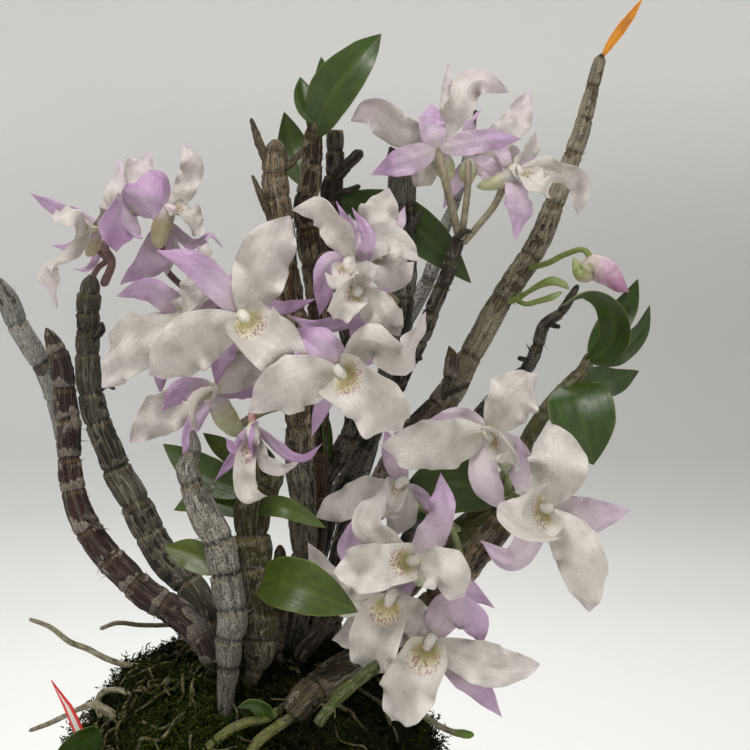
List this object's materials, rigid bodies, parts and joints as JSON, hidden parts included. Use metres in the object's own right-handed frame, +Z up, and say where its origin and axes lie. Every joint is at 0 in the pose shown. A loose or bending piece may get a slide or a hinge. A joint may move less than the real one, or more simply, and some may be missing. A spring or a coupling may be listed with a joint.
{
  "type": "potted dendrobium moniliforme",
  "caption": "Orchid in a plain round pot: ringed canes rising from a mossy mound, clusters of white and lilac blooms, green leaves.",
  "frame": {"origin": "centre of the pot's flat foot", "axes": "+Z up along the canes, +X to the right and -Y towards the viewer of the picture"},
  "size_m": [0.2, 0.1161, 0.3279],
  "materials": {
    "cane": "dry papery sheaths, living tissue",
    "bloom": "soft satin petals, living tissue",
    "bud": "soft satin, living tissue",
    "root": "dull, living tissue",
    "leaf": "glossy leaf, living tissue",
    "label": "matt card with a red edge",
    "moss": "matt damp moss on growing medium",
    "pot": "dark satin glaze"
  },
  "bodies": {
    "root": {"cane_left_outer": "cane", "cane_left_dark": "cane", "cane_left_grey": "cane", "cane_front_speckled": "cane", "cane_front_olive": "cane", "cane_front_slender": "cane", "cane_tall_tan": "cane", "cane_tall_leafy": "cane", "cane_short_cut": "cane", "cane_centre_grey": "cane", "cane_thin_twig": "cane", "cane_long_right": "cane", "cane_dry_bract": "cane", "cane_thin_grey": "cane", "cane_leafy_right": "cane", "cane_back_pale": "cane", "cane_cut_right": "cane", "young_shoot": "cane", "bloom_left_outer": "bloom", "bloom_left_back_turned": "bloom", "bloom_left_inner": "bloom", "bloom_centre_left": "bloom", "bloom_behind_left": "bloom", "bloom_centre_low_left": "bloom", "bloom_hanging": "bloom", "bloom_centre_top": "bloom", "bloom_centre_back": "bloom", "bloom_centre_middle": "bloom", "bloom_centre_front": "bloom", "bloom_right_upper": "bloom", "bloom_right_front": "bloom", "bloom_lower_upper": "bloom", "bloom_lower_back": "bloom", "bloom_lower_left": "bloom", "bloom_lowest": "bloom", "bloom_top_back_turned": "bloom", "bloom_top_middle": "bloom", "bloom_top_right": "bloom", "bud_right_large": "bud", "buds_right_small": "bud", "root_left_long": "root", "root_left_back": "root", "root_left_low": "root", "root_left_loop": "root", "root_right": "root", "root_front_upper": "root", "root_front_lower": "root", "leaf_low_front": "leaf", "leaf_low_left": "leaf", "plant_label": "label", "moss_mound": "moss", "pot": "pot"}
  },
  "joints": []
}
